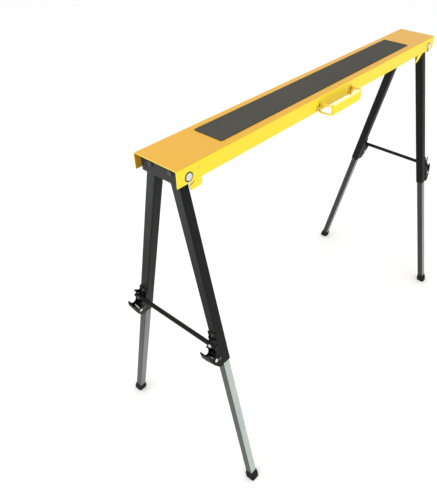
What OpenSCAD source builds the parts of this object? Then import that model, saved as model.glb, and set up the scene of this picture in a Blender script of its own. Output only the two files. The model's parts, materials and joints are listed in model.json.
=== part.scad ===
// Folding sawhorse: a folded steel beam on two hinged leg frames with telescopic lower legs.
// +X runs along the beam to the far end, +Y is its left side, +Z is up, and the floor is Z = 0.

/* [Beam] */
// Length of the beam
beam_len = 1000; // [900:10:1200]
// Width of the beam across its flanges
beam_w = 106; // [104:0.5:112]
// Height of the beam's top face above the floor
beam_top = 810; // [780:5:860]
// Depth of the beam's side flanges
flange_h = 33; // [31:0.5:36]
// Sheet thickness of the beam
beam_t = 1.5; // [1.2:0.1:1.8]
// Length of the grip pad
pad_len = 740; // [600:10:800]
// Width of the grip pad
pad_w = 70; // [50:1:80]
// Thickness of the grip pad
pad_t = 1.5; // [1:0.1:3]

/* [Leg frames] */
// Distance of each pivot from the middle of the beam
pivot_x = 472; // [420:1:475]
// Depth of the pivots below the beam's top face
pivot_drop = 21; // [20.5:0.1:21.5]
// Distance of each leg pair's middle plane beyond its pivot
leg_out = 3; // [2.5:0.1:3]
// Distance of a leg's axis from the middle at pivot height
leg_top_y = 26; // [24:0.5:27]
// Splay of each leg
splay = 12.9; // [12:0.1:14]
// Width of the square upper tube
upper_w = 22; // [21.8:0.1:22.2]
// Wall of the upper tube
upper_wall = 1.5; // [1.4:0.05:1.5]
// Length of the upper tube below the pivot
upper_len = 426; // [424:1:440]
// Diameter of the release bar across each leg pair
bar_d = 10; // [9:0.5:10]

/* [Telescopic legs] */
// Width of the square lower tube
lower_w = 18; // [17.8:0.1:18.2]
// Wall of the lower tube
lower_wall = 1.2; // [1:0.1:1.4]
// Length of lower tube inside the upper tube at the lowest setting
lower_in = 268; // [262:1:268]
// Distance between height settings
step_pitch = 25; // [22:0.5:25]
// Number of height settings
step_count = 7; // [4:1:7]
// Height of a rubber foot
foot_h = 22; // [20:1:34]
// Width of a rubber foot
foot_w = 23.5; // [22:0.5:26]

/* [Handle] */
// Distance of the handle's middle from the beam's middle
handle_x = -12; // [-60:1:60]
// Length of the handle between wire centres
handle_len = 128; // [110:1:160]
// How far the grip's middle stands out from the flange
handle_out = 29; // [26:1:36]
// Diameter of the handle wire
wire_d = 4; // [3.5:0.1:4.2]

/* [Hidden] */

$fn = 48;
near = -1;
far = 1;
left = 1;
right = -1;

yellow = [0.97, 0.80, 0.10];
black = [0.10, 0.10, 0.10];
zinc = [0.72, 0.75, 0.74];
silver = [0.85, 0.85, 0.86];
dark_steel = [0.22, 0.22, 0.23];
rubber_grey = [0.30, 0.29, 0.27];
rubber_black = [0.06, 0.06, 0.06];

half_w = beam_w / 2;
bend_r = 3;
flange_z = beam_top - flange_h;
pivot_z = beam_top - pivot_drop;
leg_x = pivot_x + leg_out;
leg_len = pivot_z / cos(splay);
face = upper_w / 2;
ease = 0.05;

// Pivot bolt and the head bracket's ears
bolt_r = 4;
bolt_hole_r = bolt_r + 0.1;
ear_gap = 0.8;
ear_t = 2;
ear_y = half_w - beam_t - ear_gap;
ear_r = 14;
head_t = 2;
head_bottom = pivot_z - 17;
head_top = pivot_z + 10;
head_bolt_z = pivot_z + 4;
washer_t = 1.1;
nut_t = 6;
nut_r = 7.5;

// Hook bracket and lock lever, measured outwards from a leg's axis and down from the pivot
hook_w = 24;
hook_t = 1.8;
hook_top = 345;
hook_bottom = 427;
jaw_r = 6.5;
jaw_x = 29.6;
jaw_at = 388.5;
rivet_r = 2.5;
top_rivet_at = 354;
low_rivet_at = 417;
cross_pin_r = 2.5;
cross_pin_x = 26.4;
cross_pin_at = 404;
lever_x = 17.8;
lever_at = 402;
lever_pin_r = 2.5;
lever_t = 1.8;
lever_w = 15;
strip_w = 12.4;
strip_top_at = 361;
strip_x = lever_x - lever_pin_r - 1.7;
bar_r = bar_d / 2;
bar_x_out = strip_x + lever_t + bar_r;
lock_at = 372;
lock_r = 2.75;
lock_hole_r = 4.8;
lever_z = pivot_z - lever_at * cos(splay);
lever_y = leg_top_y + lever_at * sin(splay);
bar_z = pivot_z - lock_at * cos(splay);
bar_end = leg_top_y + lock_at * sin(splay) + 14;

// Handle wire heights
wire_r = wire_d / 2;
wire_high = beam_top - 16;
wire_low = beam_top - 35;
wire_bend = 7;
wire_y = -half_w - wire_r - ease;
grip_y = -half_w - handle_out;

// ---- shared shapes ----

module rounded_square(w, d, r) {
    translate([-w / 2 + r, -d / 2]) square([w - 2 * r, d]);
    translate([-w / 2, -d / 2 + r]) square([w, d - 2 * r]);
    for (x = [-1, 1], y = [-1, 1])
        translate([x * (w / 2 - r), y * (d / 2 - r)]) circle(r = r, $fn = 24);
}

module square_tube(w, wall, low, high, r) {
    translate([0, 0, low])
        linear_extrude(high - low)
            difference() {
                rounded_square(w, w, r);
                rounded_square(w - 2 * wall, w - 2 * wall, max(r - wall, 0.4));
            }
}

module at_end(end) {
    if (end == near) mirror([1, 0, 0]) children();
    else children();
}

module at_side(side) {
    if (side == right) mirror([0, 1, 0]) children();
    else children();
}

// A leg's own space: +X points outwards along the beam, +Z up the leg, with Z = 0 at the pivot
module on_leg(end, side) {
    at_end(end)
        at_side(side)
            translate([leg_x, leg_top_y, pivot_z])
                rotate([splay, 0, 0])
                    children();
}

module both_legs(end) {
    for (side = [left, right]) on_leg(end, side) children();
}

// A cylinder along Y between two distances
module bar_y(r, low, high, sides = 48) {
    translate([0, high, 0])
        rotate([90, 0, 0])
            cylinder(r = r, h = high - low, $fn = sides);
}

// A cylinder along X between two distances
module bar_x(r, low, high, sides = 48) {
    translate([low, 0, 0])
        rotate([0, 90, 0])
            cylinder(r = r, h = high - low, $fn = sides);
}

// A flat outline drawn in X and Z, made solid along Y
module plate_xz(low, high) {
    translate([0, high, 0])
        rotate([90, 0, 0])
            linear_extrude(high - low)
                children();
}

module at_pivots() {
    for (end = [near, far], side = [left, right])
        at_end(end)
            at_side(side)
                translate([pivot_x, 0, pivot_z])
                    children();
}

// A button head of the given radius and height, standing on Z = 0
module dome(r, h) {
    ball_r = (r * r + h * h) / (2 * h);
    intersection() {
        translate([0, 0, h - ball_r]) sphere(r = ball_r, $fn = 64);
        cylinder(r = r + 1, h = h + 1);
    }
}

// ---- beam ----

module beam_profile() {
    translate([-half_w, flange_z]) square([beam_t, flange_h - bend_r]);
    translate([half_w - beam_t, flange_z]) square([beam_t, flange_h - bend_r]);
    translate([-half_w + bend_r, beam_top - beam_t]) square([beam_w - 2 * bend_r, beam_t]);
    for (side = [-1, 1])
        translate([side * (half_w - bend_r), beam_top - bend_r])
            intersection() {
                difference() {
                    circle(r = bend_r);
                    circle(r = bend_r - beam_t);
                }
                translate([side > 0 ? 0 : -bend_r, 0]) square(bend_r);
            }
}

// The stop tab beside the near pivot, with its slit curved round the bolt
module near_stop_outline() {
    difference() {
        polygon([
            [-pivot_x, flange_z - 6], [-pivot_x + 2.5, flange_z - 16], [-pivot_x + 26, flange_z - 16],
            [-pivot_x + 31, flange_z - 12], [-pivot_x + 31, flange_z + 1], [-pivot_x + 6, flange_z + 1]
        ]);
        translate([-pivot_x, pivot_z])
            difference() {
                circle(r = 18);
                circle(r = 16.4);
            }
        translate([-pivot_x - 5, flange_z - 2.2]) square([14, 2.2]);
    }
}

// The rest hook that takes a folded far leg, open towards the middle
module far_stop_outline() {
    difference() {
        polygon([
            [pivot_x - 35, flange_z + 1], [pivot_x - 36, flange_z - 2], [pivot_x - 44, flange_z - 8],
            [pivot_x - 57, flange_z - 17], [pivot_x - 68, flange_z - 19.5], [pivot_x - 74, flange_z - 19],
            [pivot_x - 72, flange_z - 14], [pivot_x - 60, flange_z + 1]
        ]);
        translate([pivot_x - 72, flange_z - 6]) circle(r = 8.5);
    }
}

module top_beam() {
    color(yellow)
        difference() {
            union() {
                translate([-beam_len / 2, 0, 0])
                    rotate([90, 0, 90])
                        linear_extrude(beam_len)
                            beam_profile();
                for (side = [left, right])
                    at_side(side)
                        plate_xz(half_w - beam_t, half_w) {
                            near_stop_outline();
                            far_stop_outline();
                        }
            }
            at_pivots() bar_y(bolt_hole_r, half_w - beam_t - 1, half_w + 1);
            at_stop_rivets() bar_y(rivet_r + ease, half_w - beam_t - 1, half_w + 1);
            at_clips()
                for (x = [-1, 1])
                    translate([x * clip_hole, 0, 0])
                        bar_y(clip_rivet_r + ease, -1, beam_t + 1);
        }
}

module grip_pad() {
    color(rubber_grey)
        translate([0, 0, beam_top])
            linear_extrude(pad_t)
                rounded_square(pad_len, pad_w, 3);
}

module at_stop_rivets() {
    for (end = [near, far], side = [left, right])
        at_end(end)
            at_side(side)
                translate([pivot_x - 26, 0, beam_top - 13.5])
                    children();
}

module stop_rivets() {
    color(yellow)
        at_stop_rivets() {
            bar_y(rivet_r, half_w - beam_t - 1, half_w + 0.9);
            bar_y(rivet_r + 1, half_w - beam_t - 1, half_w - beam_t);
        }
}

// ---- handle ----

clip_hole = 8;
clip_w = 22;
clip_h = 9;
clip_t = 1.2;
clip_rivet_r = 1.5;

module at_clips() {
    for (x = [-1, 1])
        translate([handle_x + x * handle_len / 2, -half_w, (wire_high + wire_low) / 2])
            children();
}

// One level of the wire: out from the flange, along the grip and back
module wire_level(z) {
    reach = -grip_y + wire_y;
    translate([handle_x, 0, z]) {
        for (x = [-1, 1]) {
            translate([x * handle_len / 2, 0, 0])
                bar_y(wire_r, wire_y - reach + wire_bend, wire_y);
            translate([x * (handle_len / 2 - wire_bend), grip_y + wire_bend, 0])
                rotate([0, 0, x > 0 ? -90 : 180])
                    rotate_extrude(angle = 90)
                        translate([wire_bend, 0]) circle(r = wire_r, $fn = 32);
            translate([x * handle_len / 2, wire_y, 0]) sphere(r = wire_r, $fn = 32);
        }
        translate([0, grip_y, 0])
            bar_x(wire_r, -handle_len / 2 + wire_bend, handle_len / 2 - wire_bend);
    }
}

module handle_wire() {
    color(yellow) {
        wire_level(wire_high);
        wire_level(wire_low);
        for (x = [-1, 1])
            translate([handle_x + x * handle_len / 2, wire_y, wire_low])
                cylinder(r = wire_r, h = wire_high - wire_low, $fn = 32);
    }
}

module handle_grip() {
    run = handle_len - 2 * wire_bend - 1;
    color(yellow)
        translate([handle_x - run / 2, grip_y, (wire_high + wire_low) / 2])
            rotate([90, 0, 90])
                linear_extrude(run)
                    difference() {
                        rounded_square(8, wire_high - wire_low + 5.6, 3.9);
                        for (z = [-1, 1])
                            translate([0, z * (wire_high - wire_low) / 2])
                                circle(r = wire_r + ease, $fn = 32);
                    }
}

// Saddle over the wire: X runs along the beam, and the flange's face is Y = 0
module clip_profile() {
    hollow = wire_r + ease;
    difference() {
        union() {
            translate([-clip_w / 2, -clip_t]) square([clip_w, clip_t]);
            translate([0, -hollow]) circle(r = hollow + clip_t);
            translate([-hollow - clip_t, -hollow]) square([2 * (hollow + clip_t), hollow]);
        }
        translate([0, -hollow]) circle(r = hollow);
        translate([-hollow, -hollow]) square([2 * hollow, 2 * hollow]);
        translate([-clip_w / 2, 0]) square([clip_w, clip_w]);
    }
}

module handle_clips() {
    color(yellow)
        at_clips()
            difference() {
                translate([0, 0, -clip_h / 2]) linear_extrude(clip_h) clip_profile();
                for (x = [-1, 1])
                    translate([x * clip_hole, 0, 0])
                        bar_y(clip_rivet_r + ease, -clip_t - 1, 1);
            }
}

module clip_rivets() {
    color(yellow)
        at_clips()
            for (x = [-1, 1])
                translate([x * clip_hole, 0, 0]) {
                    bar_y(clip_rivet_r, -clip_t - 0.5, beam_t + 0.5);
                    bar_y(clip_rivet_r + 1, -clip_t - 1, -clip_t);
                    bar_y(clip_rivet_r + 1, beam_t, beam_t + 0.8);
                }
}

// ---- pivots ----

module pivot_bolts() {
    shank_end = ear_y - ear_t - 0.3 - washer_t - nut_t - 0.4;
    color(silver)
        at_pivots() {
            bar_y(bolt_r, shank_end, half_w + 0.5);
            translate([0, half_w, 0])
                rotate([-90, 0, 0])
                    dome(8, 4.2);
        }
}

module pivot_washers() {
    high = ear_y - ear_t - 0.3;
    color(silver)
        at_pivots()
            difference() {
                bar_y(8, high - washer_t, high);
                bar_y(bolt_r + ease, high - washer_t - 1, high + 1);
            }
}

module pivot_nuts() {
    high = ear_y - ear_t - 0.3 - washer_t;
    color(silver)
        at_pivots()
            difference() {
                bar_y(nut_r, high - nut_t, high, 6);
                bar_y(bolt_r + ease, high - nut_t - 1, high + 1);
            }
}

// ---- leg frames ----

module head_side_outline() {
    translate([pivot_x, pivot_z]) circle(r = ear_r);
    translate([pivot_x, head_bottom])
        square([leg_out + face + head_t, head_top - head_bottom]);
}

module head(end) {
    web_x = leg_x + face;
    depth = web_x + head_t - pivot_x + ear_r;
    color(black)
        at_end(end)
            difference() {
                intersection() {
                    translate([web_x + head_t - depth / 2, 0, head_bottom - 5])
                        linear_extrude(40)
                            difference() {
                                rounded_square(depth, 2 * ear_y, 3);
                                translate([-head_t - 5, 0])
                                    rounded_square(depth + 10, 2 * (ear_y - ear_t), 1);
                                translate([-depth / 2 - 1, -ear_y + ear_t])
                                    square([20, 2 * (ear_y - ear_t)]);
                            }
                    plate_xz(-half_w, half_w) head_side_outline();
                }
                translate([pivot_x, 0, pivot_z]) bar_y(bolt_hole_r, -half_w, half_w);
                at_head_bolts() bar_x(bolt_r + ease, -60, 60);
            }
}

module at_head_bolts() {
    y = leg_top_y - (head_bolt_z - pivot_z) * tan(splay);
    for (side = [-1, 1])
        translate([leg_x, side * y, head_bolt_z])
            children();
}

module head_bolts(end) {
    color(dark_steel)
        at_end(end)
            at_head_bolts() {
                bar_x(bolt_r, -face - nut_t - 1, face + head_t + 1);
                bar_x(5.6, face + head_t, face + head_t + 2.8, 6);
            }
}

module head_nuts(end) {
    color(silver)
        at_end(end)
            at_head_bolts()
                difference() {
                    bar_x(6.8, -face - nut_t, -face, 6);
                    bar_x(bolt_r + ease, -face - nut_t - 1, 0);
                }
}

module upper_leg(end, side) {
    color(black)
        difference() {
            on_leg(end, side)
                difference() {
                    square_tube(upper_w, upper_wall, -upper_len, 10, 2.5);
                    translate([face - 4, -5, -lock_at - 8]) cube([8, 10, 16]);
                    for (at = [top_rivet_at, low_rivet_at])
                        translate([0, 0, -at]) bar_x(rivet_r + ease, 0, face + 1);
                }
            at_end(end) at_head_bolts() bar_x(bolt_r + ease, -60, 60);
        }
}

// ---- hook bracket ----

// Lower part of both cheeks: X is the distance out from the leg's axis, Y is up the leg
module cheek_base() {
    polygon([
        [face, -377], [23.1, -377], [44.5, -378.5], [44.5, -383], [42.5, -395],
        [33, -412.5], [24, -423], [18, -hook_bottom], [face, -hook_bottom]
    ]);
}

module jaw_outline() {
    translate([jaw_x, -jaw_at]) circle(r = jaw_r);
    polygon([
        [jaw_x - jaw_r, -jaw_at], [jaw_x - jaw_r, -350], [50, -350],
        [42.4, -378.6], [jaw_x + 5.6, -jaw_at - 3.3]
    ]);
}

// The outer cheek runs up to a horn beside the release bar
module outer_cheek() {
    difference() {
        cheek_base();
        jaw_outline();
    }
    polygon([
        [face, -360], [15, -360], [28, -350], [28.8, -354],
        [23.1, -362], [23.1, -378], [face, -378]
    ]);
}

// The inner cheek ends in a low shoulder and a tooth that narrows the jaw
module inner_cheek() {
    difference() {
        cheek_base();
        jaw_outline();
    }
    polygon([[face, -358], [14.9, -358], [14.9, -378], [face, -378]]);
    polygon([[18, -377], [22, -376.5], [28, -377.6], [23.1, -382.5], [18, -382]]);
}

// Folded strip that joins the cheeks under the jaw
module floor_outline() {
    difference() {
        cheek_base();
        translate([-1.5, 1.1]) cheek_base();
        jaw_outline();
        translate([0, -384]) square([60, 60]);
    }
}

module hook(end, side) {
    color(black)
        on_leg(end, side)
            difference() {
                union() {
                    plate_xz(hook_w / 2 - hook_t, hook_w / 2) outer_cheek();
                    plate_xz(-hook_w / 2, hook_t - hook_w / 2) inner_cheek();
                    plate_xz(-hook_w / 2, hook_w / 2) floor_outline();
                    translate([face, -hook_w / 2, -hook_bottom])
                        cube([hook_t, hook_w, hook_bottom - hook_top]);
                }
                translate([face - 1, -5, -lock_at - 8]) cube([hook_t + 1.1, 10, 16]);
                for (at = [top_rivet_at, low_rivet_at])
                    translate([0, 0, -at]) bar_x(rivet_r + ease, 0, face + hook_t + 0.1);
                translate([cross_pin_x, 0, -cross_pin_at])
                    bar_y(cross_pin_r + ease, -hook_w, hook_w);
                rotate([-splay, 0, 0]) {
                    translate([lever_x, 0, -lever_at * cos(splay)])
                        bar_y(lever_pin_r + ease, -lever_at, lever_at);
                    translate([strip_x + lever_t - 0.2, -lock_at, -lock_at * cos(splay) - bar_r - 1.2])
                        cube([20, 2 * lock_at, 2 * bar_r + 2.4]);
                }
            }
}

module hook_pins(end) {
    color(silver)
        both_legs(end)
            translate([cross_pin_x, 0, -cross_pin_at]) {
                bar_y(cross_pin_r, -hook_w / 2 - 0.5, hook_w / 2 + 0.5);
                for (turn = [-90, 90])
                    rotate([turn, 0, 0])
                        translate([0, 0, hook_w / 2]) dome(4, 1.8);
            }
}

module hook_rivets(end) {
    color(dark_steel)
        both_legs(end)
            for (at = [top_rivet_at, low_rivet_at])
                translate([0, 0, -at]) {
                    bar_x(rivet_r, face - upper_wall, face + hook_t + 0.5);
                    translate([face + hook_t, 0, 0])
                        rotate([0, 90, 0])
                            dome(3.8, 2);
                }
}

module at_lever_pins(end) {
    at_end(end)
        for (side = [left, right])
            at_side(side)
                translate([leg_x + lever_x, lever_y, lever_z])
                    children();
}

module lever_pins(end) {
    reach = hook_w / 2 + 2;
    color(dark_steel) {
        at_lever_pins(end) bar_y(lever_pin_r, -reach, reach);
        difference() {
            at_lever_pins(end) bar_y(lever_pin_r + 1.5, -reach, reach);
            both_legs(end)
                translate([0, -hook_w / 2, -lever_at - 20])
                    cube([40, hook_w, 40]);
        }
    }
}

module lever_springs(end) {
    wire = 0.6;
    color(dark_steel)
        at_lever_pins(end)
            for (y = [-1, 1])
                translate([0, y * (lever_w / 2 + 0.95), 0])
                    rotate([90, 0, 0])
                        rotate_extrude()
                            translate([lever_pin_r + 1.2, 0]) circle(r = wire, $fn = 16);
}

// ---- lock levers and the bar that turns them together ----

module release_bar(end) {
    color(black)
        difference() {
            at_end(end)
                translate([leg_x + bar_x_out, 0, bar_z])
                    bar_y(bar_r, -bar_end, bar_end);
            both_legs(end)
                translate([0, 0, -lock_at]) bar_x(lock_r + ease, 0, 60);
        }
}

module lever(end, side) {
    color(black)
        difference() {
            union() {
                at_end(end)
                    at_side(side)
                        translate([leg_x + lever_x, lever_y, lever_z])
                            bar_y(lever_pin_r + 1.7, -lever_w / 2, lever_w / 2);
                on_leg(end, side)
                    translate([strip_x, -strip_w / 2, -lever_at])
                        cube([lever_t, strip_w, lever_at - strip_top_at]);
            }
            at_lever_pins(end) bar_y(lever_pin_r + 0.1, -20, 20);
            on_leg(end, side) translate([0, 0, -lock_at]) bar_x(lock_r + ease, 0, 40);
        }
}

module lock_pin(end, side) {
    head_x = bar_x_out + bar_r;
    color(silver)
        on_leg(end, side)
            translate([0, 0, -lock_at]) {
                bar_x(lock_r, 4.5, head_x + 0.5);
                translate([head_x, 0, 0])
                    rotate([0, 90, 0])
                        dome(4.5, 2.2);
            }
}

// ---- lower legs ----

module lower_leg(end, side) {
    top = -upper_len + lower_in;
    color(zinc)
        on_leg(end, side)
            difference() {
                square_tube(lower_w, lower_wall, -leg_len + 8, top, 2);
                for (i = [0:step_count - 1])
                    translate([0, 0, -lock_at + i * step_pitch])
                        bar_x(lock_hole_r, 0, 12);
            }
}

module plug(end, side) {
    top = -upper_len + lower_in;
    inner = lower_w - 2 * lower_wall;
    color(black)
        on_leg(end, side) {
            translate([0, 0, top]) linear_extrude(3) rounded_square(lower_w + 0.4, lower_w + 0.4, 2);
            translate([0, 0, top - 14]) linear_extrude(14.5) rounded_square(inner - 0.2, inner - 0.2, 0.8);
        }
}

module foot(end, side) {
    color(rubber_black)
        difference() {
            on_leg(end, side)
                difference() {
                    union() {
                        translate([0, 0, -leg_len - 6])
                            linear_extrude(foot_h - 3)
                                rounded_square(foot_w, foot_w, 4.5);
                        translate([0, 0, -leg_len + foot_h - 9.5])
                            linear_extrude(9.5)
                                rounded_square(foot_w - 2.4, foot_w - 2.4, 3.5);
                    }
                    translate([0, 0, -leg_len + 8])
                        linear_extrude(foot_h)
                            rounded_square(lower_w + 2 * ease, lower_w + 2 * ease, 2);
                }
            translate([-beam_len, -beam_len, -40]) cube([2 * beam_len, 2 * beam_len, 40]);
        }
}

top_beam();
grip_pad();
handle_wire();
handle_grip();
handle_clips();
clip_rivets();
pivot_bolts();
pivot_washers();
pivot_nuts();
stop_rivets();
head(near);  // near_head
head_bolts(near);  // near_head_bolts
head_nuts(near);  // near_head_nuts
upper_leg(near, left);  // near_left_upper_leg
upper_leg(near, right);  // near_right_upper_leg
hook(near, left);  // near_left_hook
hook(near, right);  // near_right_hook
hook_rivets(near);  // near_hook_rivets
hook_pins(near);  // near_hook_pins
lever_pins(near);  // near_lever_pins
lever_springs(near);  // near_lever_springs
head(far);  // far_head
head_bolts(far);  // far_head_bolts
head_nuts(far);  // far_head_nuts
upper_leg(far, left);  // far_left_upper_leg
upper_leg(far, right);  // far_right_upper_leg
hook(far, left);  // far_left_hook
hook(far, right);  // far_right_hook
hook_rivets(far);  // far_hook_rivets
hook_pins(far);  // far_hook_pins
lever_pins(far);  // far_lever_pins
lever_springs(far);  // far_lever_springs
release_bar(near);  // near_release_bar
release_bar(far);  // far_release_bar
lever(near, left);  // near_left_lever
lever(near, right);  // near_right_lever
lever(far, left);  // far_left_lever
lever(far, right);  // far_right_lever
lock_pin(near, left);  // near_left_lock_pin
lock_pin(near, right);  // near_right_lock_pin
lock_pin(far, left);  // far_left_lock_pin
lock_pin(far, right);  // far_right_lock_pin
lower_leg(near, left);  // near_left_lower_leg
lower_leg(near, right);  // near_right_lower_leg
lower_leg(far, left);  // far_left_lower_leg
lower_leg(far, right);  // far_right_lower_leg
plug(near, left);  // near_left_plug
plug(near, right);  // near_right_plug
plug(far, left);  // far_left_plug
plug(far, right);  // far_right_plug
foot(near, left);  // near_left_foot
foot(near, right);  // near_right_foot
foot(far, left);  // far_left_foot
foot(far, right);  // far_right_foot
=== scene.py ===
import json
import math

import bmesh
import bpy
from mathutils import Matrix, Vector


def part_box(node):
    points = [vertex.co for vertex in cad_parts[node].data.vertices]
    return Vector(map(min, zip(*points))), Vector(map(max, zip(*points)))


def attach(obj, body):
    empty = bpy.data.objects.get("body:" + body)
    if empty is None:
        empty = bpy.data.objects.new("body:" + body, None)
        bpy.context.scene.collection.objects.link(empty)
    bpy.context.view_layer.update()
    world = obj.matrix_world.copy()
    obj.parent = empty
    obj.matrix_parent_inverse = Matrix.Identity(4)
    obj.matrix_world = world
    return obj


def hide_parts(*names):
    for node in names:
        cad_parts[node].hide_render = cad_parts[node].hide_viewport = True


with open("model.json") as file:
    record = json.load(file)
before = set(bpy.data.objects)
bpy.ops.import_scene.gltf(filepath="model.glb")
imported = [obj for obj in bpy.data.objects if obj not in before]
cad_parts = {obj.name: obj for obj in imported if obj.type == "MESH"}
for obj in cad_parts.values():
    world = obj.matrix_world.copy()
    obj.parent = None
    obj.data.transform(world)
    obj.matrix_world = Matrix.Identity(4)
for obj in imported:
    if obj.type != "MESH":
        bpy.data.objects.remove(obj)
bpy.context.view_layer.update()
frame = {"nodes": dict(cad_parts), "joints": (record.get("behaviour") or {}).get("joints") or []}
MM = 0.001
ENDS = ("near", "far")
SIDES = ("left", "right")
LEGS = [f"{end}_{side}" for end in ENDS for side in SIDES]
NODES = frame["nodes"]


# ---------------------------------------------------------------- node helpers

class Net:
    """A node tree with short calls for adding and joining nodes."""

    def __init__(self, tree):
        self.tree = tree

    def add(self, kind, **settings):
        node = self.tree.nodes.new(kind)
        for key, value in settings.items():
            setattr(node, key, value)
        return node

    def put(self, socket, value):
        if isinstance(value, bpy.types.NodeSocket):
            self.tree.links.new(value, socket)
        else:
            socket.default_value = value

    def math(self, operation, a, b=0.0, clamp=False):
        node = self.add("ShaderNodeMath", operation=operation, use_clamp=clamp)
        self.put(node.inputs[0], a)
        self.put(node.inputs[1], b)
        return node.outputs[0]

    def mix(self, factor, a, b):
        node = self.add("ShaderNodeMix", data_type="RGBA")
        self.put(node.inputs[0], factor)
        self.put(node.inputs[6], a)
        self.put(node.inputs[7], b)
        return node.outputs[2]

    def spread(self, value, low, high, to_low=0.0, to_high=1.0):
        node = self.add("ShaderNodeMapRange", clamp=True)
        for i, v in enumerate((value, low, high, to_low, to_high)):
            self.put(node.inputs[i], v)
        return node.outputs[0]

    def use(self, group, **values):
        node = self.add("ShaderNodeGroup", node_tree=group)
        for key, value in values.items():
            self.put(node.inputs[key.replace("_", " ")], value)
        return node


def new_group(name, inputs, outputs):
    tree = bpy.data.node_groups.new(name, "ShaderNodeTree")
    for label, kind, default in inputs:
        socket = tree.interface.new_socket(label, in_out="INPUT", socket_type=f"NodeSocket{kind}")
        socket.default_value = default
    for label, kind in outputs:
        tree.interface.new_socket(label, in_out="OUTPUT", socket_type=f"NodeSocket{kind}")
    net = Net(tree)
    return net, net.add("NodeGroupInput").outputs, net.add("NodeGroupOutput").inputs


def noise(net, place, scale, detail=3.0, roughness=0.55):
    node = net.add("ShaderNodeTexNoise")
    net.put(node.inputs["Vector"], place)
    net.put(node.inputs["Scale"], scale)
    net.put(node.inputs["Detail"], detail)
    net.put(node.inputs["Roughness"], roughness)
    return node.outputs["Fac"]


def object_place(net):
    return net.add("ShaderNodeTexCoord").outputs["Object"]


# ---------------------------------------------------------------- shared effects

def make_mottle():
    """Slow, cloudy change over a surface, as a mask."""
    net, given, out = new_group(
        "mottle", [("Scale", "Float", 8.0), ("Contrast", "Float", 0.5)], [("Mask", "Float")]
    )
    place = object_place(net)
    slow = noise(net, place, given["Scale"], 4.0)
    fast = noise(net, place, net.math("MULTIPLY", given["Scale"], 6.5), 2.0)
    both = net.math("ADD", net.math("MULTIPLY", slow, 0.7), net.math("MULTIPLY", fast, 0.3))
    away = net.math("MULTIPLY", net.math("SUBTRACT", both, 0.5), given["Contrast"])
    net.put(out["Mask"], net.math("ADD", net.math("MULTIPLY", away, 4.0), 0.5, clamp=True))
    return net.tree


def make_grain():
    """Fine bumps, as a height and as the surface direction they give."""
    net, given, out = new_group(
        "grain",
        [("Scale", "Float", 900.0), ("Strength", "Float", 0.15), ("Depth", "Float", 0.0003)],
        [("Height", "Float"), ("Normal", "Vector")],
    )
    place = object_place(net)
    fine = noise(net, place, given["Scale"], 2.0)
    wide = noise(net, place, net.math("MULTIPLY", given["Scale"], 0.22), 2.0)
    height = net.math("ADD", net.math("MULTIPLY", fine, 0.65), net.math("MULTIPLY", wide, 0.35))
    bump = net.add("ShaderNodeBump")
    net.put(bump.inputs["Strength"], given["Strength"])
    net.put(bump.inputs["Distance"], given["Depth"])
    net.put(bump.inputs["Height"], height)
    net.put(out["Height"], height)
    net.put(out["Normal"], bump.outputs["Normal"])
    return net.tree


def make_edges():
    """Where edges are rubbed, as a mask broken up by small chips."""
    net, given, out = new_group(
        "edge_wear", [("Width", "Float", 0.0012), ("Amount", "Float", 0.6)], [("Mask", "Float")]
    )
    bevel = net.add("ShaderNodeBevel", samples=4)
    net.put(bevel.inputs["Radius"], given["Width"])
    flat = net.add("ShaderNodeNewGeometry").outputs["Normal"]
    dot = net.add("ShaderNodeVectorMath", operation="DOT_PRODUCT")
    net.put(dot.inputs[0], bevel.outputs["Normal"])
    net.put(dot.inputs[1], flat)
    turn = net.math("SUBTRACT", 1.0, dot.outputs["Value"])
    chips = noise(net, object_place(net), 260.0, 3.0)
    rough = net.spread(net.math("ADD", turn, net.math("MULTIPLY", chips, 0.12)), 0.09, 0.30)
    net.put(out["Mask"], net.math("MULTIPLY", rough, given["Amount"], clamp=True))
    return net.tree


def make_scuffs():
    """Thin rubbed lines that run along the tubes, as a mask."""
    net, given, out = new_group(
        "scuffs", [("Along", "Float", 6.0), ("Across", "Float", 260.0), ("Amount", "Float", 0.3)],
        [("Mask", "Float")],
    )
    mapping = net.add("ShaderNodeMapping")
    scale = net.add("ShaderNodeCombineXYZ")
    net.put(scale.inputs[0], given["Across"])
    net.put(scale.inputs[1], given["Across"])
    net.put(scale.inputs[2], given["Along"])
    net.put(mapping.inputs["Vector"], object_place(net))
    net.put(mapping.inputs["Scale"], scale.outputs[0])
    lines = noise(net, mapping.outputs[0], 1.0, 2.0)
    net.put(out["Mask"], net.math("MULTIPLY", net.spread(lines, 0.56, 0.74), given["Amount"]))
    return net.tree


def make_facing():
    """How far a face is turned towards a direction, as a mask."""
    net, given, out = new_group(
        "facing",
        [("Direction", "Vector", (0.0, 0.0, 1.0)), ("From", "Float", 0.3), ("To", "Float", 0.9)],
        [("Mask", "Float")],
    )
    dot = net.add("ShaderNodeVectorMath", operation="DOT_PRODUCT")
    net.put(dot.inputs[0], net.add("ShaderNodeNewGeometry").outputs["Normal"])
    net.put(dot.inputs[1], given["Direction"])
    net.put(out["Mask"], net.spread(dot.outputs["Value"], given["From"], given["To"]))
    return net.tree


def make_height():
    """How high a point is on the standing object, as a mask."""
    net, given, out = new_group(
        "height", [("From", "Float", 0.0), ("To", "Float", 1.0)], [("Mask", "Float")]
    )
    split = net.add("ShaderNodeSeparateXYZ")
    net.put(split.inputs[0], object_place(net))
    net.put(out["Mask"], net.spread(split.outputs[2], given["From"], given["To"]))
    return net.tree


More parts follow.
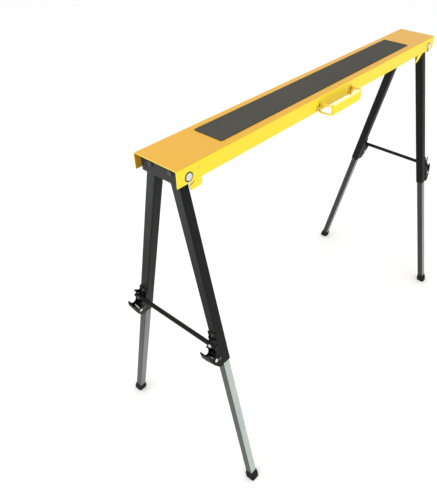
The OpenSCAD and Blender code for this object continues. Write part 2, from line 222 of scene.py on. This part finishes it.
def make_specks():
    """Small scattered grains, as a mask and as a value that differs from grain to grain."""
    net, given, out = new_group(
        "specks", [("Scale", "Float", 500.0), ("Size", "Float", 0.3)],
        [("Mask", "Float"), ("Grain", "Float")],
    )
    cells = net.add("ShaderNodeTexVoronoi")
    net.put(cells.inputs["Vector"], object_place(net))
    net.put(cells.inputs["Scale"], given["Scale"])
    net.put(out["Mask"], net.math("LESS_THAN", cells.outputs["Distance"], given["Size"]))
    split = net.add("ShaderNodeSeparateColor")
    net.put(split.inputs[0], cells.outputs["Color"])
    net.put(out["Grain"], split.outputs[0])
    return net.tree


def make_recess():
    """How closely a point is shut in by what stands round it, as a mask for painted shade in recesses.
    """
    net, given, out = new_group(
        "recess", [("Reach", "Float", 0.04), ("From", "Float", 0.75), ("To", "Float", 0.30)],
        [("Mask", "Float")],
    )
    hollow = net.add("ShaderNodeAmbientOcclusion", samples=6)
    net.put(hollow.inputs["Distance"], given["Reach"])
    net.put(out["Mask"], net.spread(hollow.outputs["AO"], given["From"], given["To"]))
    return net.tree


def make_inward():
    """Faces that look in at the beam's middle plane from either flange, as a mask for painted shade on
    the flanges' inner faces.
    """
    net, given, out = new_group(
        "inward", [("Half Width", "Float", 0.04)], [("Mask", "Float")]
    )
    place = net.add("ShaderNodeSeparateXYZ")
    net.put(place.inputs[0], object_place(net))
    normal = net.add("ShaderNodeSeparateXYZ")
    net.put(normal.inputs[0], net.add("ShaderNodeNewGeometry").outputs["Normal"])
    product = net.math("MULTIPLY", place.outputs[1], normal.outputs[1])
    inwards = net.spread(product, net.math("MULTIPLY", given["Half Width"], -0.5),
                         net.math("MULTIPLY", given["Half Width"], -1.0))
    net.put(out["Mask"], inwards)
    return net.tree


MOTTLE = make_mottle()
GRAIN = make_grain()
EDGES = make_edges()
SCUFFS = make_scuffs()
FACING = make_facing()
HEIGHT = make_height()
SPECKS = make_specks()
RECESS = make_recess()
INWARD = make_inward()


# ---------------------------------------------------------------- materials

def material(name):
    made = bpy.data.materials.new(name)
    made.use_nodes = True
    net = Net(made.node_tree)
    return made, net, made.node_tree.nodes["Principled BSDF"].inputs


def yellow_powder_coat(name, side, top_painted_light, shadow):
    """Glossy yellow paint, paler on rubbed edges, with painted light: faces turned up take their own
    tone (deeper orange on the beam, paler on the handle wire), and painted shade darkens recesses and
    the flanges' inner faces.
    """
    made, net, surface = material(name)
    up = net.use(FACING, Direction=(0.0, 0.0, 1.0), From=0.4, To=0.9).outputs["Mask"]
    cloud = net.use(MOTTLE, Scale=5.0, Contrast=0.35).outputs["Mask"]
    edge = net.use(EDGES, Width=0.0012, Amount=0.45).outputs["Mask"]
    grain = net.use(GRAIN, Scale=620.0, Strength=0.10, Depth=0.0002)
    # Painted light: faces turned up take their own tone, deeper orange on the beam and paler on the
    # handle wire.
    colour = net.mix(up, side, top_painted_light)
    colour = net.mix(net.math("MULTIPLY", cloud, 0.22), colour, shadow)
    # Painted shade: recesses and the flanges' inner faces are darkened towards deep orange-brown.
    recess_shade = net.use(RECESS, Reach=0.045, From=0.80, To=0.35).outputs["Mask"]
    inner_face_shade = net.use(INWARD, Half_Width=0.045).outputs["Mask"]
    painted_shade = net.math("MAXIMUM", recess_shade, inner_face_shade)
    colour = net.mix(net.math("MULTIPLY", painted_shade, 0.85), colour, (0.44, 0.20, 0.015, 1.0))
    colour = net.mix(edge, colour, (0.98, 0.83, 0.42, 1.0))
    net.put(surface["Base Color"], colour)
    net.put(surface["Roughness"], net.spread(cloud, 0.0, 1.0, 0.34, 0.46))
    net.put(surface["Normal"], grain.outputs["Normal"])
    net.put(surface["Coat Weight"], net.spread(up, 0.0, 1.0, 0.08, 0.02))
    surface["Coat Roughness"].default_value = 0.2
    surface["Specular IOR Level"].default_value = 0.2
    return made


def black_powder_coat(name, painted_reflection):
    """Semi-gloss black paint with rubbed edges and faint lines.

    The second argument sets how grey a painted reflection makes the upper faces turned to -X.
    """
    made, net, surface = material(name)
    out_face = net.use(FACING, Direction=(-1.0, 0.0, 0.0), From=0.5, To=0.95).outputs["Mask"]
    high = net.use(HEIGHT, From=0.54, To=0.76).outputs["Mask"]
    cloud = net.use(MOTTLE, Scale=14.0, Contrast=0.4).outputs["Mask"]
    edge = net.use(EDGES, Width=0.001, Amount=0.35).outputs["Mask"]
    lines = net.use(SCUFFS, Along=5.0, Across=240.0, Amount=0.35).outputs["Mask"]
    grain = net.use(GRAIN, Scale=760.0, Strength=0.16, Depth=0.0002)
    colour = net.mix(cloud, (0.0035, 0.004, 0.004, 1.0), (0.008, 0.0085, 0.008, 1.0))
    # Painted reflection: upper faces turned to -X go grey as if mirroring the bright room.
    lit = net.math("MULTIPLY", net.math("MULTIPLY", out_face, high), painted_reflection)
    colour = net.mix(lit, colour, (0.070, 0.074, 0.072, 1.0))
    colour = net.mix(net.math("MULTIPLY", lines, 0.6), colour, (0.035, 0.035, 0.035, 1.0))
    colour = net.mix(edge, colour, (0.075, 0.075, 0.075, 1.0))
    net.put(surface["Base Color"], colour)
    net.put(surface["Roughness"], net.spread(cloud, 0.0, 1.0, 0.38, 0.52))
    net.put(surface["Normal"], grain.outputs["Normal"])
    surface["Specular IOR Level"].default_value = 0.12
    return made


def galvanised_steel(name, painted_light_level):
    """Zinc-plated tube: fine spangle, drawn lines, and painted shade that darkens the faces turned to
    -X.
    """
    made, net, surface = material(name)
    shaded_end_face = net.use(FACING, Direction=(-1.0, 0.0, 0.0), From=0.4, To=0.9).outputs["Mask"]
    spangle = net.use(SPECKS, Scale=190.0, Size=0.4)
    cloud = net.use(MOTTLE, Scale=18.0, Contrast=0.6).outputs["Mask"]
    lines = net.use(SCUFFS, Along=4.0, Across=420.0, Amount=0.7).outputs["Mask"]
    edge = net.use(EDGES, Width=0.001, Amount=0.4).outputs["Mask"]
    grain = net.use(GRAIN, Scale=520.0, Strength=0.14, Depth=0.0002)
    # Painted light: the whole colour is scaled by how lit this leg should look.
    light = tuple(painted_light_level * v for v in (0.62, 0.69, 0.66)) + (1.0,)
    dulled = tuple(0.68 * v for v in light[:3]) + (1.0,)
    colour = net.mix(net.math("MULTIPLY", cloud, 0.5), light, dulled)
    pale = tuple(painted_light_level * v for v in (0.80, 0.86, 0.84)) + (1.0,)
    colour = net.mix(net.math("MULTIPLY", spangle.outputs["Grain"], 0.18), colour, pale)
    rubbed = tuple(0.5 * v for v in light[:3]) + (1.0,)
    colour = net.mix(net.math("MULTIPLY", lines, 0.35), colour, rubbed)
    # Painted shade: faces turned to -X are made nearly black.
    colour = net.mix(net.math("MULTIPLY", shaded_end_face, 0.92), colour, (0.020, 0.026, 0.024, 1.0))
    colour = net.mix(net.math("MULTIPLY", edge, 0.5), colour, pale)
    net.put(surface["Base Color"], colour)
    net.put(surface["Metallic"], net.spread(cloud, 0.0, 1.0, 0.55, 0.70))
    net.put(surface["Roughness"], net.spread(lines, 0.0, 0.7, 0.36, 0.52))
    net.put(surface["Normal"], grain.outputs["Normal"])
    return made


def plated_steel(name):
    """Bright zinc on bolts, rivets and pins, dulled in patches."""
    made, net, surface = material(name)
    cloud = net.use(MOTTLE, Scale=70.0, Contrast=0.7).outputs["Mask"]
    edge = net.use(EDGES, Width=0.0006, Amount=0.5).outputs["Mask"]
    grain = net.use(GRAIN, Scale=1500.0, Strength=0.12, Depth=0.0001)
    colour = net.mix(cloud, (0.86, 0.86, 0.86, 1.0), (0.58, 0.57, 0.54, 1.0))
    colour = net.mix(edge, colour, (0.95, 0.95, 0.95, 1.0))
    net.put(surface["Base Color"], colour)
    net.put(surface["Metallic"], net.spread(cloud, 0.0, 1.0, 1.0, 0.85))
    net.put(surface["Roughness"], net.spread(cloud, 0.0, 1.0, 0.20, 0.38))
    net.put(surface["Normal"], grain.outputs["Normal"])
    return made


def blackened_steel(name):
    """Dull dark plating on rivets, pins and frame bolts, rubbed brighter at the edges; also used as
    painted shade on the near-left lock pin and the pivot bolt rings.
    """
    made, net, surface = material(name)
    cloud = net.use(MOTTLE, Scale=80.0, Contrast=0.7).outputs["Mask"]
    edge = net.use(EDGES, Width=0.0006, Amount=0.6).outputs["Mask"]
    grain = net.use(GRAIN, Scale=1400.0, Strength=0.14, Depth=0.0001)
    colour = net.mix(cloud, (0.045, 0.045, 0.048, 1.0), (0.085, 0.084, 0.082, 1.0))
    colour = net.mix(edge, colour, (0.26, 0.26, 0.26, 1.0))
    net.put(surface["Base Color"], colour)
    net.put(surface["Metallic"], net.spread(cloud, 0.0, 1.0, 0.75, 0.55))
    net.put(surface["Roughness"], net.spread(cloud, 0.0, 1.0, 0.36, 0.52))
    net.put(surface["Normal"], grain.outputs["Normal"])
    return made


def grip_rubber(name, dark, light, scale, strength):
    """Matt rubber with a fine grit and a dusting of pale specks."""
    made, net, surface = material(name)
    cloud = net.use(MOTTLE, Scale=9.0, Contrast=0.4).outputs["Mask"]
    grit = net.use(SPECKS, Scale=scale, Size=0.32)
    edge = net.use(EDGES, Width=0.0008, Amount=0.3).outputs["Mask"]
    grain = net.use(GRAIN, Scale=scale, Strength=strength, Depth=0.0004)
    colour = net.mix(cloud, dark, light)
    palest = net.spread(grit.outputs["Grain"], 0.6, 1.0, 0.0, 0.35)
    pale = net.math("MULTIPLY", grit.outputs["Mask"], palest)
    colour = net.mix(pale, colour, tuple(min(1.0, 2.2 * v) for v in light[:3]) + (1.0,))
    colour = net.mix(edge, colour, tuple(0.5 * v for v in dark[:3]) + (1.0,))
    net.put(surface["Base Color"], colour)
    net.put(surface["Roughness"], net.spread(cloud, 0.0, 1.0, 0.78, 0.92))
    net.put(surface["Normal"], grain.outputs["Normal"])
    surface["Specular IOR Level"].default_value = 0.25
    return made


def moulded_plastic(name, main, worn_and_highlight, shine=0.5):
    """Soft satin plastic, a little paler where hands rub it and with a painted highlight on faces
    turned up.
    """
    made, net, surface = material(name)
    cloud = net.use(MOTTLE, Scale=26.0, Contrast=0.35).outputs["Mask"]
    up = net.use(FACING, Direction=(0.0, 0.0, 1.0), From=0.2, To=0.8).outputs["Mask"]
    edge = net.use(EDGES, Width=0.001, Amount=0.35).outputs["Mask"]
    grain = net.use(GRAIN, Scale=1100.0, Strength=0.18, Depth=0.0002)
    deeper = tuple(0.86 * v for v in main[:3]) + (1.0,)
    colour = net.mix(net.math("MULTIPLY", cloud, 0.25), main, deeper)
    # Rubbed edges are real wear; the paler faces turned up are a painted highlight.
    colour = net.mix(net.math("MAXIMUM", edge, up), colour, worn_and_highlight)
    net.put(surface["Base Color"], colour)
    net.put(surface["Roughness"], net.spread(cloud, 0.0, 1.0, 0.42, 0.55))
    net.put(surface["Normal"], grain.outputs["Normal"])
    surface["Specular IOR Level"].default_value = shine
    return made


def pale_floor(name):
    made, net, surface = material(name)
    cloud = net.use(MOTTLE, Scale=1.2, Contrast=0.15).outputs["Mask"]
    grain = net.use(GRAIN, Scale=300.0, Strength=0.03, Depth=0.0002)
    colour = net.mix(cloud, (0.97, 0.97, 0.97, 1.0), (0.985, 0.985, 0.985, 1.0))
    net.put(surface["Base Color"], colour)
    net.put(surface["Roughness"], net.spread(cloud, 0.0, 1.0, 0.75, 0.85))
    net.put(surface["Normal"], grain.outputs["Normal"])
    return made


# The third colour of each yellow is painted light for faces turned up.
YELLOW = yellow_powder_coat(
    "yellow_powder_coat", (0.96, 0.80, 0.03, 1.0), (0.71, 0.385, 0.038, 1.0), (0.66, 0.36, 0.02, 1.0)
)
WIRE = yellow_powder_coat(
    "yellow_wire_coat", (0.90, 0.66, 0.03, 1.0), (0.94, 0.74, 0.10, 1.0), (0.70, 0.44, 0.02, 1.0)
)
# Near and far frames get lit and shaded copies of one black paint, differing only in painted
# reflection.
BLACK_NEAR_LIT = black_powder_coat("black_powder_coat", 0.45)
BLACK_FAR_SHADED = black_powder_coat("black_powder_coat_far_shaded", 0.05)
# Each lower tube gets its own painted light: lit and shaded copies of one galvanised finish.
ZINC = {
    "near_right": galvanised_steel("galvanised_tube_lit_near_right", 0.78),
    "near_left": galvanised_steel("galvanised_tube_shaded_near_left", 0.30),
    "far_right": galvanised_steel("galvanised_tube_half_lit_far_right", 0.44),
    "far_left": galvanised_steel("galvanised_tube_half_lit_far_left", 0.44),
}
PLATED = plated_steel("plated_fixings")
DARK_STEEL_AND_SHADE = blackened_steel("blackened_fixings")
PAD = grip_rubber(
    "grip_pad_rubber", (0.046, 0.044, 0.036, 1.0), (0.068, 0.065, 0.055, 1.0), 1300.0, 0.55
)
BOOT = grip_rubber(
    "foot_rubber", (0.006, 0.006, 0.006, 1.0), (0.012, 0.012, 0.012, 1.0), 900.0, 0.35
)
GRIP = moulded_plastic("grip_plastic", (0.96, 0.80, 0.03, 1.0), (0.98, 0.86, 0.42, 1.0), 0.25)
GUIDE = moulded_plastic("guide_plastic", (0.012, 0.012, 0.012, 1.0), (0.03, 0.03, 0.03, 1.0))
FLOOR = pale_floor("pale_floor")

PAINT = {
    "top_beam": YELLOW, "stop_rivets": YELLOW, "handle_clips": WIRE, "handle_wire": WIRE,
    "grip_pad": PAD, "handle_grip": GRIP, "clip_rivets": WIRE, "pivot_bolts": PLATED,
    "pivot_washers": PLATED, "pivot_nuts": PLATED,
}
for end, black in (("near", BLACK_NEAR_LIT), ("far", BLACK_FAR_SHADED)):
    PAINT[f"{end}_head"] = black
    PAINT[f"{end}_release_bar"] = black
    for fixing in ("head_nuts", "hook_pins"):
        PAINT[f"{end}_{fixing}"] = PLATED
    for fixing in ("head_bolts", "hook_rivets", "lever_pins", "lever_springs"):
        PAINT[f"{end}_{fixing}"] = DARK_STEEL_AND_SHADE
    for side in SIDES:
        leg = f"{end}_{side}"
        for part in ("upper_leg", "hook", "lever"):
            PAINT[f"{leg}_{part}"] = black
        # The near-left lock pin takes the dark fixing finish as painted shade; the other lock pins are
        # bright plated.
        PAINT[f"{leg}_lock_pin"] = DARK_STEEL_AND_SHADE if leg == "near_left" else PLATED
        PAINT[f"{leg}_lower_leg"] = ZINC[leg]
        PAINT[f"{leg}_plug"] = GUIDE
        PAINT[f"{leg}_foot"] = BOOT

for node, thing in NODES.items():
    thing.data.materials.clear()
    thing.data.materials.append(PAINT[node])


# ---------------------------------------------------------------- mesh helpers

def object_from(bm, name, paint, smooth_deg=40.0):
    bmesh.ops.recalc_face_normals(bm, faces=bm.faces)
    mesh = bpy.data.meshes.new(name)
    bm.to_mesh(mesh)
    bm.free()
    mesh.materials.append(paint)
    mesh.shade_smooth()
    mesh.set_sharp_from_angle(angle=math.radians(smooth_deg))
    made = bpy.data.objects.new(name, mesh)
    bpy.context.scene.collection.objects.link(made)
    return made


def rounded_square(half_a, half_b, radius, steps=6):
    """Points of a rectangle with round corners, in order round it."""
    points = []
    for corner, (sa, sb) in enumerate(((1, 1), (-1, 1), (-1, -1), (1, -1))):
        for step in range(steps + 1):
            turn = math.radians(90.0 * (corner + step / steps))
            points.append((
                sa * (half_a - radius) + radius * math.cos(turn),
                sb * (half_b - radius) + radius * math.sin(turn),
            ))
    return points


def skin(bm, rings, close_start=True, close_end=True):
    """Joins rings of points into a closed skin."""
    rows = [[bm.verts.new(p) for p in ring] for ring in rings]
    count = len(rows[0])
    for low, high in zip(rows, rows[1:]):
        for i in range(count):
            j = (i + 1) % count
            bm.faces.new((low[i], low[j], high[j], high[i]))
    if close_start:
        bm.faces.new(list(reversed(rows[0])))
    if close_end:
        bm.faces.new(rows[-1])


def lathe(bm, centre, axis, profile, sides=40):
    """Turns a profile of (distance along axis, radius) pairs round an axis."""
    axis = Vector(axis).normalized()
    across = axis.orthogonal().normalized()
    other = axis.cross(across)
    rings = []
    for along, radius in profile:
        middle = Vector(centre) + axis * along
        rings.append([
            middle + radius * (math.cos(t) * across + math.sin(t) * other)
            for t in (2 * math.pi * i / sides for i in range(sides))
        ])
    skin(bm, rings)


def middle_of(node):
    low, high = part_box(node)
    return (Vector(low) + Vector(high)) / 2


# ---------------------------------------------------------------- rubber feet

SLIDES = {joint["name"]: joint for joint in frame["joints"]}

# Height up the leg, half width and corner radius of each ring of a foot, in millimetres
FOOT_RINGS = (
    (-4.0, 10.6, 4.0), (-2.6, 11.6, 4.6), (3.6, 11.75, 4.7), (4.2, 11.3, 4.5), (5.0, 11.3, 4.5),
    (5.6, 11.75, 4.7), (9.4, 11.75, 4.7), (10.0, 11.3, 4.5), (10.8, 11.3, 4.5), (11.4, 11.75, 4.7),
    (13.2, 11.7, 4.6), (14.6, 11.0, 4.0), (15.8, 10.6, 3.6), (20.6, 10.4, 3.5), (21.6, 10.1, 3.3),
    (22.0, 9.6, 3.0), (21.9, 9.1, 2.2), (17.0, 9.05, 2.1),
)


def rubber_foot(leg):
    """A ribbed boot pushed over the end of a lower leg, flat where it meets the floor."""
    down = Vector(SLIDES[f"{leg}_leg_slide"]["axis"]).normalized()
    tube = middle_of(f"{leg}_lower_leg")
    ground = tube - down * (tube.z / down.z)
    across = Vector((1.0, 0.0, 0.0))
    other = down.cross(across)
    bm = bmesh.new()
    rings = []
    for row, (up, half, radius) in enumerate(FOOT_RINGS):
        middle = ground - down * up * MM
        floor = min(row, 4) * 0.5 * MM
        ring = []
        for a, b in rounded_square(half * MM, half * MM, radius * MM):
            point = middle + across * a + other * b
            if point.z < floor:
                point = point - down * ((point.z - floor) / down.z)
            ring.append(point)
        rings.append(ring)
    skin(bm, rings)
    foot = object_from(bm, f"{leg}_rubber_boot", BOOT, 30.0)
    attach(foot, f"{leg}_lower")
    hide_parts(f"{leg}_foot")
    return foot


for leg in LEGS:
    rubber_foot(leg)


# ---------------------------------------------------------------- handle grip

def moulded_grip():
    """The carry handle's sleeve: a rounded band with shallow ribs and soft ends."""
    soft_end, plain_end, rib_depth, rib_pitch, end_draw = 1.6, 9.0, 0.35, 0.0065, 1.2
    low, high = (Vector(v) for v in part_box("handle_grip"))
    centre = (low + high) / 2
    half = (high - low) / 2
    stations = 120
    bm = bmesh.new()
    rings = []
    for i in range(stations + 1):
        t = i / stations
        x = low.x + t * (high.x - low.x)
        from_end = min(t, 1 - t) * (high.x - low.x) / MM
        soft = 1.0
        if from_end <= soft_end:
            soft = math.sqrt(max(0.0, 1 - ((soft_end - from_end) / soft_end) ** 2))
        rib = 0.0
        if from_end > plain_end:
            rib = rib_depth * (0.5 + 0.5 * math.cos(2 * math.pi * (x - centre.x) / rib_pitch))
        depth = half.y - (end_draw * (1 - soft) + rib) * MM
        tall = half.z - (end_draw * (1 - soft) + 0.6 * rib) * MM
        rings.append([
            Vector((x, centre.y + a, centre.z + b))
            for a, b in rounded_square(depth, tall, min(depth, tall) - 0.1 * MM, 8)
        ])
    skin(bm, rings)
    grip = object_from(bm, "moulded_grip", GRIP, 50.0)
    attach(grip, "beam")
    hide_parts("handle_grip")


moulded_grip()


# ---------------------------------------------------------------- fixings

def pivot_bolt_rings():
    """A pressed washer ring round each pivot bolt's head, on the flange's face, coloured dark as
    painted shade round the head.
    """
    pivots = [joint for joint in frame["joints"] if joint["name"].endswith("_frame_fold")]
    flange_low, flange_high = (Vector(v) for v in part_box("top_beam"))
    for joint in pivots:
        for side, face in (("left", flange_high.y), ("right", flange_low.y)):
            out = 1 if face > 0 else -1
            bm = bmesh.new()
            centre = Vector((joint["pos_m"][0], face, joint["pos_m"][2]))
            lathe(bm, centre, (0, out, 0), [
                (0.0, 9.6 * MM), (0.35 * MM, 9.6 * MM), (0.75 * MM, 9.2 * MM), (0.85 * MM, 8.7 * MM),
                (0.85 * MM, 7.4 * MM), (0.0, 7.4 * MM),
            ], 56)
            # The ring's dark finish paints the shade round the bolt head.
            ring = object_from(bm, f"{joint['name'].split('_')[0]}_{side}_bolt_ring", DARK_STEEL_AND_SHADE, 30.0)
            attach(ring, "beam")


pivot_bolt_rings()


# ---------------------------------------------------------------- floor, light and camera

def floor_plane():
    bm = bmesh.new()
    size, steps = 40.0, 12
    bmesh.ops.create_grid(bm, x_segments=steps, y_segments=steps, size=size)
    floor = object_from(bm, "floor", FLOOR)
    floor.location.z = -0.0002


def soft_light(name, place, target, size, power, tint=(1.0, 1.0, 1.0)):
    lamp = bpy.data.lights.new(name, "AREA")
    lamp.shape = "DISK"
    lamp.size = size
    lamp.energy = power
    lamp.color = tint
    made = bpy.data.objects.new(name, lamp)
    made.location = place
    aim = Vector(target) - Vector(place)
    made.rotation_euler = aim.to_track_quat("-Z", "Y").to_euler()
    bpy.context.scene.collection.objects.link(made)


def studio():
    world = bpy.data.worlds.new("studio")
    world.use_nodes = True
    back = world.node_tree.nodes["Background"].inputs
    back["Color"].default_value = (1.0, 1.0, 1.0, 1.0)
    back["Strength"].default_value = 1.0
    bpy.context.scene.world = world
    soft_light("front_softbox", (-0.2, -2.8, 1.5), (0.0, 0.0, 0.5), 2.2, 4.0)
    soft_light("overhead_softbox", (0.1, 0.2, 3.2), (0.0, 0.0, 0.0), 3.0, 6.0)
    soft_light("end_softbox", (-1.5, 0.3, 2.0), (-0.5, 0.0, 0.6), 1.4, 8.0)
    bpy.context.scene.view_settings.view_transform = "Standard"


def camera():
    """A standing person's view down onto the near end, from the handle's side."""
    eye = (-0.9986, -0.6205, 1.2461)
    heading, down, tilt = math.radians(38.28), math.radians(37.99), math.radians(1.35)
    forward = Vector((
        math.cos(heading) * math.cos(down), math.sin(heading) * math.cos(down), -math.sin(down)
    ))
    level = forward.cross(Vector((0.0, 0.0, 1.0))).normalized()
    upright = level.cross(forward)
    right = math.cos(tilt) * level + math.sin(tilt) * upright
    up = right.cross(forward)
    lens = bpy.data.cameras.new("studio_camera")
    lens.lens = 38.6
    lens.sensor_width = 36.0
    lens.shift_x = -0.081
    lens.dof.use_dof = False
    made = bpy.data.objects.new("studio_camera", lens)
    turn = Matrix((right, up, -forward)).transposed()
    made.matrix_world = Matrix.Translation(eye) @ turn.to_4x4()
    bpy.context.scene.collection.objects.link(made)
    bpy.context.scene.camera = made


floor_plane()
studio()
camera()
